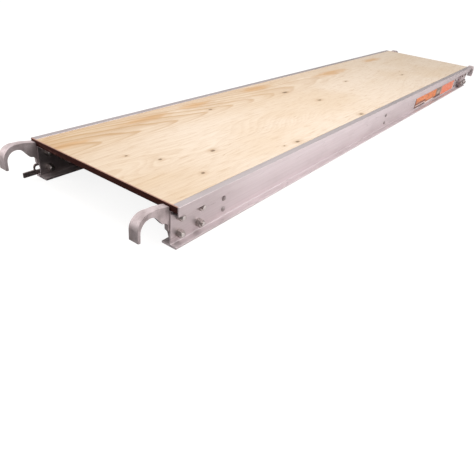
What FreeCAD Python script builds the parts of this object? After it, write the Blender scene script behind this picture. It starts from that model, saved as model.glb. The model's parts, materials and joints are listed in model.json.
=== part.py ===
import FreeCAD, Part
import math
import os

from FreeCAD import Vector

# A hook-on scaffold plank: two extruded side rails, a plywood deck let in between them, and
# four cast hooks that drop over the bearer tubes of a scaffold bay. All lengths are in mm.
# +X runs along the plank, +Y across it, +Z up. The origin is under the middle of the plank,
# on the plane of the rails' undersides. The front is the -X end, the right side is -Y.

# ---- driving dimensions -------------------------------------------------------------------
BAY_LENGTH = 2438.4          # bearer centre to bearer centre, an eight-foot bay
PLANK_WIDTH = 489.0          # over the two rails
RAIL_HEIGHT = 100.0          # underside of the rails to the top of their lips
SEAT_REACH = 53.0            # bearer centre to the rail end
SEAT_DROP = 38.0             # bearer centre below the top of the plank
SEAT_RADIUS = 25.0           # hook seat, for a 48.3 mm tube
PLY_THICKNESS = 12.7         # half-inch plywood

# ---- side rail section, measured inboard from the outer face --------------------------------
LIP_WIDTH = 17.5             # metal beside the deck, on top
BOX_DEPTH = 23.0             # height of the hollow lip
BOX_WALL = 2.5
WEB_OUTER = 21.0             # outer face of the web
WEB_THICKNESS = 3.0
FLANGE_OUTER = 4.0
FLANGE_INNER = 45.0          # inner edge of the bottom flange and of the deck ledge
FLANGE_THICKNESS = 5.0
LEDGE_THICKNESS = 3.0
DECK_RECESS = 0.5            # deck surface below the lip tops
DECK_SIDE_GAP = 0.5
EDGE_ROUND = 0.8
ROOT_ROUND = 3.0

# ---- hook casting, x from the rail end with outward negative -------------------------------
TIP_WIDTH = 24.5             # across the plank, at the hook's tip
ARM_WIDTH = 17.0             # across the plank, from the seat to the end channel
ARM_TAPER_END = -45.0        # where the arm has narrowed to its full taper
ARM_TAPER_ROUND = 60.0
PLATE_THICKNESS = 9.5
TIP_THICKNESS = 7.5
TIP_BOTTOM = 42.5            # height of the hook tip's lower end
TIP_ROUND = 3.0
ARM_FACE = -1.0              # where the arm stops, just clear of the end channel
ARM_SLOPE_START = -33.0
ARM_SLOPE_ROUND = 60.0
ARM_END_TOP = 94.0
ARM_END_BOTTOM = 84.0
ARM_END_ROUND = 1.5
SEAT_WRAP_ANGLE = 40.0       # where the seat's circle ends on the plank side, above horizontal
NOSE_X = -20.5               # tip of the stepped nose
NOSE_Z = 61.0
NOSE_STEPS = ((9.0, 12.0, 4.0), (3.5, 31.0, 4.0), (-4.0, 40.0, 3.0), (-4.5, 53.0, 5.0), (-10.0, 58.5, 3.0))
PLATE_ROOT_X = -46.0         # inside the arm, where the seat's cut shapes the plate
PLATE_ROOT_Z = 86.5
PLATE_TOP = 76.0
PLATE_BOTTOM = 12.0
PLATE_END = 105.0
PLATE_ROUND = 8.0

# ---- hook fasteners ------------------------------------------------------------------------
BOLT_X = (25.0, 87.0)
BOLT_Z = (65.0, 24.0)
BOLT_RADIUS = 5.0
BOLT_HOLE_RADIUS = 5.5
THREAD_GAP = 0.1
HEX_FLATS = 16.0
HEAD_HEIGHT = 6.4
NUT_HEIGHT = 10.0
WASHER_RADIUS = 9.5
WASHER_THICKNESS = 2.0
BOLT_POINT = 3.0             # thread showing past the nut
HEX_CHAMFER = 1.2
HEX_SIDES = 6

# ---- sliding latch -------------------------------------------------------------------------
LATCH_THICKNESS = 3.5
LATCH_GAP = 0.3
LATCH_TRAVEL = 25.0
LATCH_TONGUE_TIP = -39.0
LATCH_TONGUE_TOP = 20.0
LATCH_SHOULDER = -9.5
LATCH_BOTTOM = 7.0
LATCH_TOP = 35.0
LATCH_SHOULDER_ROUND = 7.0
LATCH_EDGE_ROUND = 1.0
LATCH_END = 115.0
LATCH_TAB_REACH = 11.0
SLOT_EXTRA = 0.5
SLIDE_WASHER_THICKNESS = 1.5
DOME_RADIUS = 9.5
DOME_HEIGHT = 5.3

# ---- spreaders between the rails --------------------------------------------------------------
SPREADER_END_OFFSET = 174.0
SPREADER_DEPTH = 25.0
SPREADER_BOTTOM = 15.0
SPREADER_TOP = 60.0
SPREADER_WALL = 2.5
SPREADER_SCREW_Z = (51.5, 23.5)
BOSS_RADIUS = 6.5
SPREADER_SCREW_RADIUS = 3.9
SPREADER_SCREW_GAP = 0.1
SPREADER_SCREW_LENGTH = 30.0
BUTTON_RADIUS = 6.5
BUTTON_HEIGHT = 4.4
SPREADER_ROUND = 1.5
SPREADER_INNER_ROUND = 0.5
RIB_THICKNESS = 2.0
RIB_OVERLAP = 0.5            # how far a rib runs into the tube's wall

# ---- deck screws and end channels ---------------------------------------------------------------
DECK_SCREW_COUNT = 9
DECK_SCREW_MARGIN = 90.0
DECK_SCREW_INSET = 36.0
DECK_SCREW_RADIUS = 2.3
DECK_SCREW_BITE = 9.0
DECK_SCREW_HEAD_RADIUS = 4.5
DECK_SCREW_HEAD_HEIGHT = 2.8
CHANNEL_FACE = 2.8
CHANNEL_BOTTOM = 84.8
CHANNEL_FLANGE_LENGTH = 34.0
CHANNEL_FLANGE_GAP = 1.0     # beside each ledge
CHANNEL_RIVET_Y = (-160.0, -55.0, 55.0, 160.0)
CHANNEL_RIVET_X = 20.0
CHANNEL_RIVET_RADIUS = 2.4
CHANNEL_RIVET_HEAD_RADIUS = 5.0
CHANNEL_RIVET_HEAD_HEIGHT = 2.0

# ---- label on the right rail --------------------------------------------------------------------
LABEL_START = 1520.0         # from the front rail end
LABEL_LENGTH = 620.0
LABEL_BOTTOM = 11.0
LABEL_TOP = 55.0
LABEL_THICKNESS = 0.3

# ---- making -----------------------------------------------------------------------------------
OVERSHOOT = 1.0              # how far a cutting tool runs past the faces it opens
SAME_POINT = 1e-6

# ---- derived sizes ----------------------------------------------------------------------------
RAIL_LENGTH = BAY_LENGTH - 2.0 * SEAT_REACH
HALF_LENGTH = RAIL_LENGTH / 2.0
HALF_WIDTH = PLANK_WIDTH / 2.0
WEB_INNER = WEB_OUTER + WEB_THICKNESS
BOX_BOTTOM = RAIL_HEIGHT - BOX_DEPTH
DECK_TOP = RAIL_HEIGHT - DECK_RECESS
DECK_BOTTOM = DECK_TOP - PLY_THICKNESS
LEDGE_BOTTOM = DECK_BOTTOM - LEDGE_THICKNESS
SEAT_Z = RAIL_HEIGHT - SEAT_DROP
CROWN_RADIUS = SEAT_RADIUS + TIP_THICKNESS
DECK_HALF_WIDTH = HALF_WIDTH - LIP_WIDTH - DECK_SIDE_GAP
DECK_HALF_LENGTH = HALF_LENGTH - CHANNEL_FACE
SPREADER_X = (-HALF_LENGTH + SPREADER_END_OFFSET, 0.0, HALF_LENGTH - SPREADER_END_OFFSET)
ACROSS = Vector(0.0, 1.0, 0.0)
UP = Vector(0.0, 0.0, 1.0)
HALF_TURN = 180.0


# ---- drawing helpers ----------------------------------------------------------------------------
def corner_arc(before, corner, after, radius):
    """Tangent points and midpoint of the arc that rounds one corner of a flat outline."""
    to_before = (before - corner).normalize()
    to_after = (after - corner).normalize()
    half_angle = to_before.getAngle(to_after) / 2.0
    reach = radius / math.tan(half_angle)
    bisector = (to_before + to_after).normalize()
    middle = corner + bisector * (radius / math.sin(half_angle) - radius)
    return corner + to_before * reach, middle, corner + to_after * reach


def rounded_wire(corners, to_space):
    """Closed wire through (a, b, radius) corners; to_space places a flat point in the model."""
    flat = [Vector(a, b, 0.0) for a, b, radius in corners]
    stations = []
    for index, (a, b, radius) in enumerate(corners):
        if radius == 0.0:
            stations.append((flat[index],))
        else:
            after = flat[(index + 1) % len(flat)]
            stations.append(corner_arc(flat[index - 1], flat[index], after, radius))
    edges = []
    for index, station in enumerate(stations):
        placed = [to_space(point.x, point.y) for point in station]
        if len(placed) == 3:
            edges.append(Part.Arc(*placed).toShape())
        following = stations[(index + 1) % len(stations)][0]
        start = placed[-1]
        finish = to_space(following.x, following.y)
        if start.distanceToPoint(finish) > SAME_POINT:
            edges.append(Part.makeLine(start, finish))
    return Part.Wire(edges)


def prism(corners, to_space, direction):
    """Solid made by pushing a rounded outline along a direction."""
    return Part.Face(rounded_wire(corners, to_space)).extrude(direction)


def rod(radius, start, direction, length):
    """Plain cylinder."""
    return Part.makeCylinder(radius, length, start, direction)


def hexagon(centre, direction, height, bore_radius=0.0):
    """Hexagonal prism along Y with chamfered corners, bored through when it is a nut."""
    circumradius = HEX_FLATS / 2.0 / math.cos(math.pi / HEX_SIDES)
    points = []
    for index in range(HEX_SIDES + 1):
        angle = 2.0 * math.pi * index / HEX_SIDES
        spoke = Vector(math.cos(angle), 0.0, math.sin(angle))
        points.append(centre + spoke * circumradius)
    body = Part.Face(Part.makePolygon(points)).extrude(direction * height)
    crown = Part.makeCone(circumradius + height - HEX_CHAMFER, circumradius - HEX_CHAMFER, height,
                          centre, direction)
    body = body.common(crown)
    if bore_radius:
        body = body.cut(rod(bore_radius, centre, direction, height))
    return body


def washer(centre, direction, thickness):
    """Flat round washer along Y."""
    ring = rod(WASHER_RADIUS, centre, direction, thickness)
    return ring.cut(rod(BOLT_HOLE_RADIUS, centre, direction, thickness))


def dome(centre, direction, radius, height):
    """Low domed head, flat side at centre."""
    ball_radius = (radius * radius + height * height) / (2.0 * height)
    ball = Part.makeSphere(ball_radius, centre + direction * (height - ball_radius))
    return ball.common(rod(radius, centre, direction, height))


def half_turn(shape):
    """Copy turned half a turn about the plank's vertical axis."""
    turned = shape.copy()
    turned.rotate(Vector(0.0, 0.0, 0.0), Vector(0.0, 0.0, 1.0), HALF_TURN)
    return turned


# ---- side rails -----------------------------------------------------------------------------------
def rail_outline():
    """Outer outline of the right rail's section: (inboard, height, radius) corners."""
    return [
        (0.0, BOX_BOTTOM, EDGE_ROUND),
        (WEB_OUTER, BOX_BOTTOM, EDGE_ROUND),
        (WEB_OUTER, FLANGE_THICKNESS, ROOT_ROUND),
        (FLANGE_OUTER, FLANGE_THICKNESS, EDGE_ROUND),
        (FLANGE_OUTER, 0.0, EDGE_ROUND),
        (FLANGE_INNER, 0.0, EDGE_ROUND),
        (FLANGE_INNER, FLANGE_THICKNESS, EDGE_ROUND),
        (WEB_INNER, FLANGE_THICKNESS, ROOT_ROUND),
        (WEB_INNER, LEDGE_BOTTOM, ROOT_ROUND),
        (FLANGE_INNER, LEDGE_BOTTOM, EDGE_ROUND),
        (FLANGE_INNER, DECK_BOTTOM, 0.0),
        (LIP_WIDTH, DECK_BOTTOM, 0.0),
        (LIP_WIDTH, RAIL_HEIGHT, EDGE_ROUND),
        (0.0, RAIL_HEIGHT, EDGE_ROUND),
    ]


def rail_hollow():
    """Outline of the closed hollow in the lip."""
    inner_face = LIP_WIDTH - BOX_WALL
    return [
        (BOX_WALL, BOX_BOTTOM + BOX_WALL, EDGE_ROUND),
        (WEB_OUTER, BOX_BOTTOM + BOX_WALL, EDGE_ROUND),
        (WEB_OUTER, LEDGE_BOTTOM, 0.0),
        (inner_face, LEDGE_BOTTOM, 0.0),
        (inner_face, RAIL_HEIGHT - BOX_WALL, EDGE_ROUND),
        (BOX_WALL, RAIL_HEIGHT - BOX_WALL, EDGE_ROUND),
    ]


def web_point(x, inboard, z):
    """Point on the right side of the plank, given inboard of its outer face."""
    return Vector(x, -HALF_WIDTH + inboard, z)


def cross_web_holes():
    """Rods that drill the right rail: hook bolts at both ends, spreader screws and deck screws."""
    through_web = WEB_THICKNESS + 2.0 * OVERSHOOT
    drills = []
    for end in (-1.0, 1.0):
        for bolt_x, bolt_z in bolt_places():
            start = web_point(end * (HALF_LENGTH - bolt_x), WEB_OUTER - OVERSHOOT, bolt_z)
            drills.append(rod(BOLT_HOLE_RADIUS, start, ACROSS, through_web))
    for x in SPREADER_X:
        for z in SPREADER_SCREW_Z:
            start = web_point(x, WEB_OUTER - OVERSHOOT, z)
            drills.append(rod(SPREADER_SCREW_RADIUS + SPREADER_SCREW_GAP, start, ACROSS, through_web))
    for x in deck_screw_places():
        start = web_point(x, DECK_SCREW_INSET, LEDGE_BOTTOM - OVERSHOOT)
        drills.append(rod(DECK_SCREW_RADIUS, start, UP, LEDGE_THICKNESS + 2.0 * OVERSHOOT))
    return Part.makeCompound(drills)


def channel_notches():
    """Boxes that let the end channels into both ends of the right rail, inside its outer wall."""
    notches = []
    for start in (-HALF_LENGTH - OVERSHOOT, HALF_LENGTH - CHANNEL_FACE):
        corner = web_point(start, BOX_WALL, CHANNEL_BOTTOM)
        width = FLANGE_INNER - BOX_WALL + OVERSHOOT
        height = RAIL_HEIGHT - CHANNEL_BOTTOM + OVERSHOOT
        notches.append(Part.makeBox(CHANNEL_FACE + OVERSHOOT, width, height, corner))
    return Part.makeCompound(notches)


def side_rail():
    """Right-hand extruded rail."""
    length = Vector(RAIL_LENGTH, 0.0, 0.0)

    def to_space(inboard, z):
        return web_point(-HALF_LENGTH, inboard, z)

    solid = prism(rail_outline(), to_space, length)
    solid = solid.cut(prism(rail_hollow(), to_space, length))
    solid = solid.cut(channel_notches())
    return solid.cut(cross_web_holes())


# ---- deck -------------------------------------------------------------------------------------------
def deck_screw_places():
    """Evenly spaced screw positions along the plank."""
    reach = HALF_LENGTH - DECK_SCREW_MARGIN
    step = 2.0 * reach / (DECK_SCREW_COUNT - 1)
    return [-reach + step * index for index in range(DECK_SCREW_COUNT)]


def deck_screws():
    """Pan-head screws that come up through the right ledge into the plywood."""
    screws = []
    for x in deck_screw_places():
        seat = web_point(x, DECK_SCREW_INSET, LEDGE_BOTTOM)
        shank = rod(DECK_SCREW_RADIUS, seat, UP, LEDGE_THICKNESS + DECK_SCREW_BITE)
        head = dome(seat, UP * -1.0, DECK_SCREW_HEAD_RADIUS, DECK_SCREW_HEAD_HEIGHT)
        screws.append(shank.fuse(head))
    return screws


def channel_rivets():
    """Rivets that hold the front end channel up against the plywood."""
    grip = DECK_BOTTOM - CHANNEL_BOTTOM + DECK_SCREW_BITE
    rivets = []
    for y in CHANNEL_RIVET_Y:
        seat = Vector(-HALF_LENGTH + CHANNEL_RIVET_X, y, CHANNEL_BOTTOM)
        shank = rod(CHANNEL_RIVET_RADIUS, seat, UP, grip)
        head = dome(seat, UP * -1.0, CHANNEL_RIVET_HEAD_RADIUS, CHANNEL_RIVET_HEAD_HEIGHT)
        rivets.append(shank.fuse(head))
    return rivets


def deck_panel():
    """Plywood sheet with blind pilot holes for its screws and the channel rivets."""
    corner = Vector(-DECK_HALF_LENGTH, -DECK_HALF_WIDTH, DECK_BOTTOM)
    sheet = Part.makeBox(2.0 * DECK_HALF_LENGTH, 2.0 * DECK_HALF_WIDTH, PLY_THICKNESS, corner)
    pilots = []
    for x in deck_screw_places():
        for side in (-1.0, 1.0):
            seat = Vector(x, side * (HALF_WIDTH - DECK_SCREW_INSET), DECK_BOTTOM)
            pilots.append(rod(DECK_SCREW_RADIUS, seat, UP, DECK_SCREW_BITE))
    for end in (-1.0, 1.0):
        for y in CHANNEL_RIVET_Y:
            seat = Vector(end * (HALF_LENGTH - CHANNEL_RIVET_X), y, DECK_BOTTOM)
            pilots.append(rod(CHANNEL_RIVET_RADIUS, seat, UP, DECK_SCREW_BITE))
    return sheet.cut(Part.makeCompound(pilots))


def end_channel():
    """Front end trim: a face between the rails' outer walls and a flange under the plywood."""
    half_face = HALF_WIDTH - BOX_WALL
    face = Part.makeBox(CHANNEL_FACE, 2.0 * half_face, DECK_TOP - CHANNEL_BOTTOM,
                        Vector(-HALF_LENGTH, -half_face, CHANNEL_BOTTOM))
    half_flange = HALF_WIDTH - FLANGE_INNER - CHANNEL_FLANGE_GAP
    flange_thickness = DECK_BOTTOM - CHANNEL_BOTTOM
    flange = Part.makeBox(CHANNEL_FLANGE_LENGTH, 2.0 * half_flange, flange_thickness,
                          Vector(-HALF_LENGTH, -half_flange, CHANNEL_BOTTOM))
    solid = face.fuse(flange).removeSplitter()
    for y in CHANNEL_RIVET_Y:
        seat = Vector(-HALF_LENGTH + CHANNEL_RIVET_X, y, CHANNEL_BOTTOM)
        solid = solid.cut(rod(CHANNEL_RIVET_RADIUS, seat, UP, flange_thickness))
    return solid


# ---- spreaders ----------------------------------------------------------------------------------------
def spreader_section(half_depth, inset, radius):
    """Rectangle of the spreader's section, inset from its outer faces."""
    reach = half_depth - inset
    bottom = SPREADER_BOTTOM + inset
    top = SPREADER_TOP - inset
    return [(-reach, bottom, radius), (reach, bottom, radius), (reach, top, radius), (-reach, top, radius)]


def spreader(x):
    """Rectangular tube between the webs, with two screw bosses inside it."""
    span = 2.0 * (HALF_WIDTH - WEB_INNER)
    half = SPREADER_DEPTH / 2.0

    def to_space(a, z):
        return web_point(x + a, WEB_INNER, z)

    outside = spreader_section(half, 0.0, SPREADER_ROUND)
    inside = spreader_section(half, SPREADER_WALL, SPREADER_INNER_ROUND)
    solid = prism(outside, to_space, ACROSS * span).cut(prism(inside, to_space, ACROSS * span))
    rib_reach = half - SPREADER_WALL + RIB_OVERLAP
    for z in SPREADER_SCREW_Z:
        boss = rod(BOSS_RADIUS, to_space(0.0, z), ACROSS, span)
        corner = to_space(-rib_reach, z - RIB_THICKNESS / 2.0)
        rib = Part.makeBox(2.0 * rib_reach, span, RIB_THICKNESS, corner)
        solid = solid.fuse(boss).fuse(rib)
    bore_radius = SPREADER_SCREW_RADIUS + SPREADER_SCREW_GAP
    for z in SPREADER_SCREW_Z:
        solid = solid.cut(rod(bore_radius, to_space(0.0, z), ACROSS, span))
    return solid


def spreader_screws():
    """Button-head screws through the right web into every spreader's bosses."""
    screws = []
    for x in SPREADER_X:
        for z in SPREADER_SCREW_Z:
            seat = web_point(x, WEB_OUTER, z)
            shank = rod(SPREADER_SCREW_RADIUS, seat, ACROSS, SPREADER_SCREW_LENGTH)
            head = dome(seat, ACROSS * -1.0, BUTTON_RADIUS, BUTTON_HEIGHT)
            screws.append(shank.fuse(head))
    return screws


# ---- hooks --------------------------------------------------------------------------------------------
def hook_arm_outline():
    """Outline of the band that goes over the bearer, before the seat is cut out of it."""
    tip_outer = -SEAT_REACH - CROWN_RADIUS
    return [
        (tip_outer, TIP_BOTTOM, TIP_ROUND),
        (tip_outer, RAIL_HEIGHT, CROWN_RADIUS),
        (ARM_SLOPE_START, RAIL_HEIGHT, ARM_SLOPE_ROUND),
        (ARM_FACE, ARM_END_TOP, ARM_END_ROUND),
        (ARM_FACE, ARM_END_BOTTOM, 0.0),
        (-SEAT_REACH, ARM_END_BOTTOM, 0.0),
        (-SEAT_REACH, TIP_BOTTOM, 0.0),
    ]


def hook_plan_outline():
    """The hook seen from above: wide at the tip, narrower from the seat to the end channel."""
    tip_outer = -SEAT_REACH - CROWN_RADIUS
    return [
        (tip_outer, 0.0, 0.0),
        (PLATE_END, 0.0, 0.0),
        (PLATE_END, ARM_WIDTH, 0.0),
        (ARM_TAPER_END, ARM_WIDTH, ARM_TAPER_ROUND),
        (tip_outer, TIP_WIDTH, 0.0),
    ]


def hook_plate_outline():
    """Outline of the bolted plate, with the stepped nose below the seat."""
    steps = list(NOSE_STEPS)
    return [
        (PLATE_ROOT_X, PLATE_ROOT_Z, 0.0),
        (ARM_FACE, PLATE_ROOT_Z, 0.0),
        (ARM_FACE, PLATE_TOP, 0.0),
        (PLATE_END, PLATE_TOP, PLATE_ROUND),
        (PLATE_END, PLATE_BOTTOM, PLATE_ROUND),
        *steps,
        (NOSE_X, NOSE_Z, 0.0),
        (PLATE_ROOT_X, NOSE_Z, 0.0),
    ]


def seat_cutter(face_y):
    """The space the bearer lies in: a round seat, then a straight slope down to the nose."""
    wrap = math.radians(SEAT_WRAP_ANGLE)
    wrap_x = -SEAT_REACH + SEAT_RADIUS * math.cos(wrap)
    wrap_z = SEAT_Z + SEAT_RADIUS * math.sin(wrap)
    slope_end = wrap_x + (wrap_z - NOSE_Z) * math.tan(wrap)
    start_y = face_y - OVERSHOOT
    depth = TIP_WIDTH + 2.0 * OVERSHOOT

    def to_space(x, z):
        return Vector(-HALF_LENGTH + x, start_y, z)

    below = PLATE_BOTTOM - OVERSHOOT
    mouth = [
        (-SEAT_REACH - SEAT_RADIUS, SEAT_Z, 0.0),
        (-SEAT_REACH - SEAT_RADIUS, below, 0.0),
        (slope_end, below, 0.0),
        (slope_end, NOSE_Z, 0.0),
        (wrap_x, wrap_z, 0.0),
        (-SEAT_REACH, SEAT_Z, 0.0),
    ]
    round_seat = rod(SEAT_RADIUS, to_space(-SEAT_REACH, SEAT_Z), ACROSS, depth)
    return round_seat.fuse(prism(mouth, to_space, ACROSS * depth))


def bolt_places():
    """(x, z) of the four hook bolts, measured from the front rail end."""
    return [(x, z) for x in BOLT_X for z in BOLT_Z]


def hook(face_y):
    """Front hook whose plate bears on a web at face_y and stands on its +Y side."""

    def to_space(x, z):
        return Vector(-HALF_LENGTH + x, face_y, z)

    def to_plan(x, y):
        return Vector(-HALF_LENGTH + x, face_y + y, 0.0)

    arm = prism(hook_arm_outline(), to_space, ACROSS * TIP_WIDTH)
    arm = arm.common(prism(hook_plan_outline(), to_plan, UP * (RAIL_HEIGHT + OVERSHOOT)))
    plate = prism(hook_plate_outline(), to_space, ACROSS * PLATE_THICKNESS)
    solid = arm.fuse(plate).cut(seat_cutter(face_y)).removeSplitter()
    for x, z in bolt_places():
        solid = solid.cut(rod(BOLT_HOLE_RADIUS, to_space(x, z), ACROSS, PLATE_THICKNESS))
    return solid


def hook_bolts(face_y, places):
    """Hex bolts with their heads on the plate and their points past the nuts."""
    length = PLATE_THICKNESS + WEB_THICKNESS + WASHER_THICKNESS + NUT_HEIGHT + BOLT_POINT
    bolts = []
    for x, z in places:
        seat = Vector(-HALF_LENGTH + x, face_y + PLATE_THICKNESS, z)
        shank = rod(BOLT_RADIUS, seat, ACROSS * -1.0, length)
        bolts.append(shank.fuse(hexagon(seat, ACROSS, HEAD_HEIGHT)))
    return bolts


def hook_washers(face_y):
    """Washers between the web and the nuts of one hook."""
    seats = [Vector(-HALF_LENGTH + x, face_y - WEB_THICKNESS, z) for x, z in bolt_places()]
    return [washer(seat, ACROSS * -1.0, WASHER_THICKNESS) for seat in seats]


def hook_nuts(face_y):
    """Nuts of one hook."""
    seat_y = face_y - WEB_THICKNESS - WASHER_THICKNESS
    seats = [Vector(-HALF_LENGTH + x, seat_y, z) for x, z in bolt_places()]
    return [hexagon(seat, ACROSS * -1.0, NUT_HEIGHT, BOLT_RADIUS + THREAD_GAP) for seat in seats]


# ---- sliding latch ------------------------------------------------------------------------------------
def latch_outline():
    """Flat bar with a low tongue that reaches under the bearer."""
    return [
        (LATCH_TONGUE_TIP, LATCH_BOTTOM, LATCH_EDGE_ROUND),
        (LATCH_END, LATCH_BOTTOM, 0.0),
        (LATCH_END, LATCH_TOP, 0.0),
        (LATCH_SHOULDER, LATCH_TOP, LATCH_SHOULDER_ROUND),
        (LATCH_SHOULDER, LATCH_TONGUE_TOP, LATCH_EDGE_ROUND),
        (LATCH_TONGUE_TIP, LATCH_TONGUE_TOP, LATCH_EDGE_ROUND),
    ]


def latch_face(face_y):
    """Inner face of the latch, just clear of the hook plate."""
    return face_y + PLATE_THICKNESS + LATCH_GAP


def latch_slot(bolt_x, to_space):
    """Round-ended slot that lets the latch slide past one guide bolt."""
    slot_z = BOLT_Z[1]
    reach = LATCH_TRAVEL + SLOT_EXTRA
    through = ACROSS * LATCH_THICKNESS
    front = rod(BOLT_HOLE_RADIUS, to_space(bolt_x - reach, slot_z), ACROSS, LATCH_THICKNESS)
    back = rod(BOLT_HOLE_RADIUS, to_space(bolt_x, slot_z), ACROSS, LATCH_THICKNESS)
    bottom = slot_z - BOLT_HOLE_RADIUS
    top = slot_z + BOLT_HOLE_RADIUS
    between = [
        (bolt_x - reach, bottom, 0.0),
        (bolt_x, bottom, 0.0),
        (bolt_x, top, 0.0),
        (bolt_x - reach, top, 0.0),
    ]
    return front.fuse(back).fuse(prism(between, to_space, through))


def latch(face_y):
    """Latch with two long slots and a bent finger tab at its back end."""
    inner_y = latch_face(face_y)

    def to_space(x, z):
        return Vector(-HALF_LENGTH + x, inner_y, z)

    solid = prism(latch_outline(), to_space, ACROSS * LATCH_THICKNESS)
    tab = Part.makeBox(LATCH_THICKNESS, LATCH_TAB_REACH, LATCH_TOP - LATCH_BOTTOM,
                       to_space(LATCH_END - LATCH_THICKNESS, LATCH_BOTTOM))
    solid = solid.fuse(tab).removeSplitter()
    for bolt_x in BOLT_X:
        solid = solid.cut(latch_slot(bolt_x, to_space))
    return solid


def slide_washers(face_y):
    """Washers that keep the latch on its two guide bolts."""
    seat_y = latch_face(face_y) + LATCH_THICKNESS + LATCH_GAP
    seats = [Vector(-HALF_LENGTH + x, seat_y, BOLT_Z[1]) for x in BOLT_X]
    return [washer(seat, ACROSS, SLIDE_WASHER_THICKNESS) for seat in seats]


def guide_bolts(face_y):
    """Long low-headed bolts through the latch slots, the hook plate and the web."""
    seat_y = latch_face(face_y) + LATCH_THICKNESS + LATCH_GAP + SLIDE_WASHER_THICKNESS
    length = seat_y - face_y + WEB_THICKNESS + WASHER_THICKNESS + NUT_HEIGHT + BOLT_POINT
    bolts = []
    for x in BOLT_X:
        seat = Vector(-HALF_LENGTH + x, seat_y, BOLT_Z[1])
        shank = rod(BOLT_RADIUS, seat, ACROSS * -1.0, length)
        bolts.append(shank.fuse(dome(seat, ACROSS, DOME_RADIUS, DOME_HEIGHT)))
    return bolts


# ---- label --------------------------------------------------------------------------------------------
def label():
    """Thin printed strip on the right web."""
    corner = web_point(-HALF_LENGTH + LABEL_START, WEB_OUTER - LABEL_THICKNESS, LABEL_BOTTOM)
    return Part.makeBox(LABEL_LENGTH, LABEL_THICKNESS, LABEL_TOP - LABEL_BOTTOM, corner)


# ---- the whole plank ----------------------------------------------------------------------------------
def hook_nodes():
    """Both front hooks with their fasteners, and the rear ones as the same turned half round."""
    upper = [place for place in bolt_places() if place[1] == BOLT_Z[0]]
    right_face = -HALF_WIDTH + WEB_INNER
    left_face = HALF_WIDTH - WEB_OUTER
    front = {
        "hook_front_right": hook(right_face),
        "hook_bolts_front_right": hook_bolts(right_face, bolt_places()),
        "hook_washers_front_right": hook_washers(right_face),
        "hook_nuts_front_right": hook_nuts(right_face),
        "hook_front_left": hook(left_face),
        "hook_bolts_front_left": hook_bolts(left_face, upper),
        "hook_washers_front_left": hook_washers(left_face),
        "hook_nuts_front_left": hook_nuts(left_face),
        "latch_front": latch(left_face),
        "latch_guide_bolts_front": guide_bolts(left_face),
        "latch_slide_washers_front": slide_washers(left_face),
    }
    other_end = {"front": "rear", "right": "left", "left": "right"}
    nodes = {}
    for name, shape in front.items():
        solid = Part.makeCompound(shape) if isinstance(shape, list) else shape
        nodes[name] = solid
        turned_name = "_".join(other_end.get(word, word) for word in name.split("_"))
        nodes[turned_name] = half_turn(solid)
    return nodes


def plank_nodes():
    """Every node of the plank, by name."""
    rail = side_rail()
    deck_fixings = Part.makeCompound(deck_screws())
    spreader_fixings = Part.makeCompound(spreader_screws())
    channel = end_channel()
    rivets = Part.makeCompound(channel_rivets())
    nodes = {
        "side_rail_right": rail,
        "side_rail_left": half_turn(rail),
        "deck_panel": deck_panel(),
        "deck_screws_right": deck_fixings,
        "deck_screws_left": half_turn(deck_fixings),
        "end_channel_front": channel,
        "end_channel_rear": half_turn(channel),
        "end_channel_rivets_front": rivets,
        "end_channel_rivets_rear": half_turn(rivets),
        "spreader_screws_right": spreader_fixings,
        "spreader_screws_left": half_turn(spreader_fixings),
        "label_strip": label(),
    }
    for name, x in zip(("front", "middle", "rear"), SPREADER_X):
        nodes["spreader_" + name] = spreader(x)
    nodes.update(hook_nodes())
    return nodes


os.makedirs("parts", exist_ok=True)
for node_name, node_shape in plank_nodes().items():
    assert node_shape.isValid(), node_name
    node_shape.exportStep(os.path.join("parts", node_name + ".step"))
    print(node_name, len(node_shape.Solids), "solids", round(node_shape.Volume), "mm3")
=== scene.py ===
import json
import logging
import math
from collections.abc import Mapping, Sequence
from dataclasses import dataclass
from enum import Enum

import bmesh
import bpy
import numpy as np
from mathutils import Matrix, Vector


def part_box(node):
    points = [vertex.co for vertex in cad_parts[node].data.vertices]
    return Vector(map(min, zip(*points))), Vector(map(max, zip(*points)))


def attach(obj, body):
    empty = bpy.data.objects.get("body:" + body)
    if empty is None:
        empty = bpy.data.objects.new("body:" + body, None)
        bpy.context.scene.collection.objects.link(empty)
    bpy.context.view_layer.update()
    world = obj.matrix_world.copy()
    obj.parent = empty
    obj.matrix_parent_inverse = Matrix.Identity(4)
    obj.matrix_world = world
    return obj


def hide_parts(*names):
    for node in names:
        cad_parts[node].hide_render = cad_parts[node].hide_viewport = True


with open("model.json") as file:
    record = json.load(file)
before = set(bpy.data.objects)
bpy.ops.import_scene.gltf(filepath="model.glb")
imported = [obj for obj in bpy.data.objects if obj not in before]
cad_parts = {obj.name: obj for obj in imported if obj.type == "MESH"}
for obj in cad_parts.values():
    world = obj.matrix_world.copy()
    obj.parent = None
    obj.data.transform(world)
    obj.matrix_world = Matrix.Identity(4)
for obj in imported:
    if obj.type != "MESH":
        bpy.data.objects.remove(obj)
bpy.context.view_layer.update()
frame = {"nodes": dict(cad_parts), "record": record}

log = logging.getLogger("scaffold_plank")

MM = 0.001
RAIL_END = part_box("side_rail_right")[1].x
DECK_LOW, DECK_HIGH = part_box("deck_panel")

Colour = tuple[float, float, float, float]
Number = float | int


def tint(code: str) -> Colour:
    """Linear colour of a six-digit hexadecimal display colour.

    Args:
        code: Red, green and blue as two hexadecimal digits each.

    Returns:
        The linear colour with full alpha.
    """
    shares = [int(code[at:at + 2], 16) / 255.0 for at in (0, 2, 4)]
    linear = [s / 12.92 if s <= 0.04045 else ((s + 0.055) / 1.055) ** 2.4 for s in shares]
    return (linear[0], linear[1], linear[2], 1.0)


# ---- shader maths ---------------------------------------------------------------------------


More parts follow.
